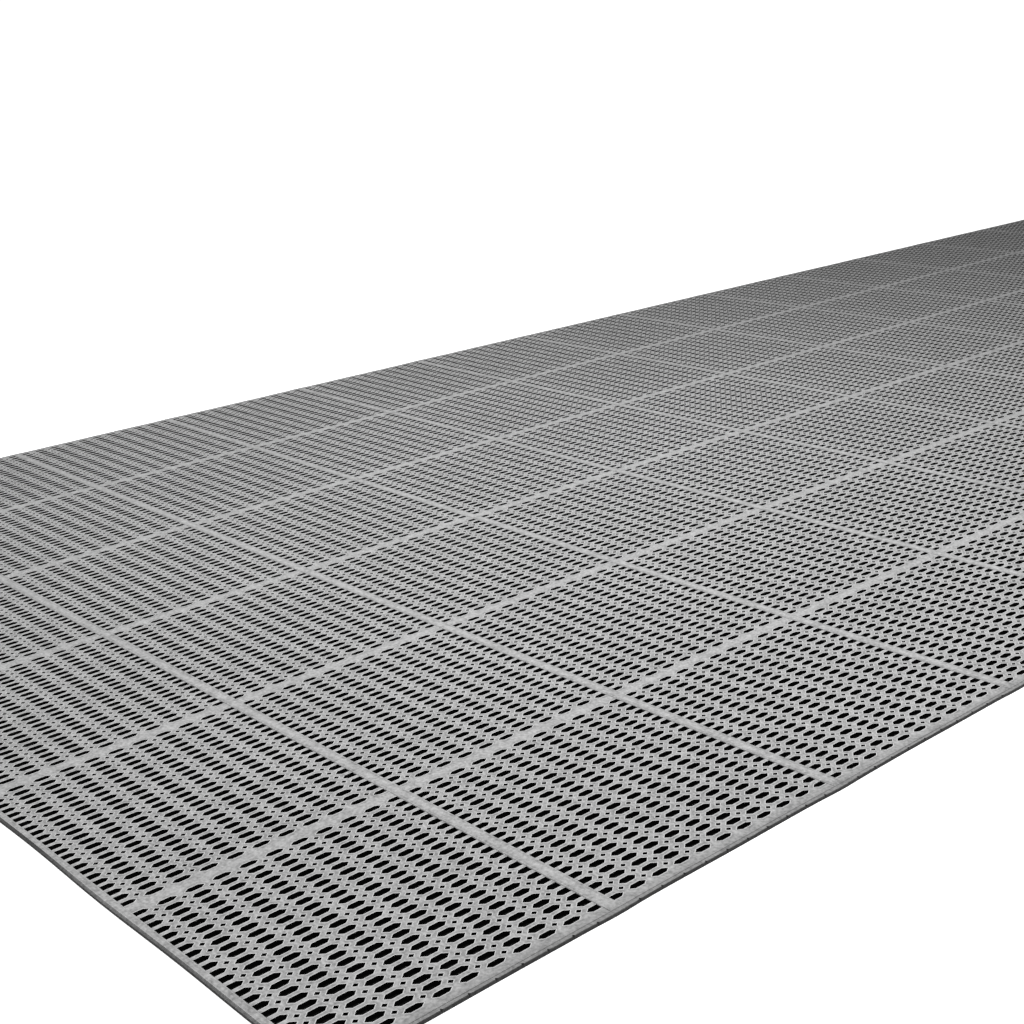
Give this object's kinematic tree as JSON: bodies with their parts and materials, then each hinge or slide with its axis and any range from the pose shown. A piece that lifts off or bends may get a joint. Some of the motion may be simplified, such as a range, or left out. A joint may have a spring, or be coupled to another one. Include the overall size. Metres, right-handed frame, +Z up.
{
  "type": "drainage mat",
  "caption": "Flat moulded rubber drainage mat with rows of hexagonal slots, small diamond holes, raised crossbars and plain bands",
  "frame": {"origin": "middle of the underside, which rests on the floor", "axes": "+X along the mat's length, +Y across its width, +Z up through its thickness, with the crossbars raised on the upper face"},
  "size_m": [4.2722, 1.8244, 0.0048],
  "materials": {
    "rubber": "matte"
  },
  "bodies": {
    "root": {"drainage_mat": "rubber"}
  },
  "joints": []
}
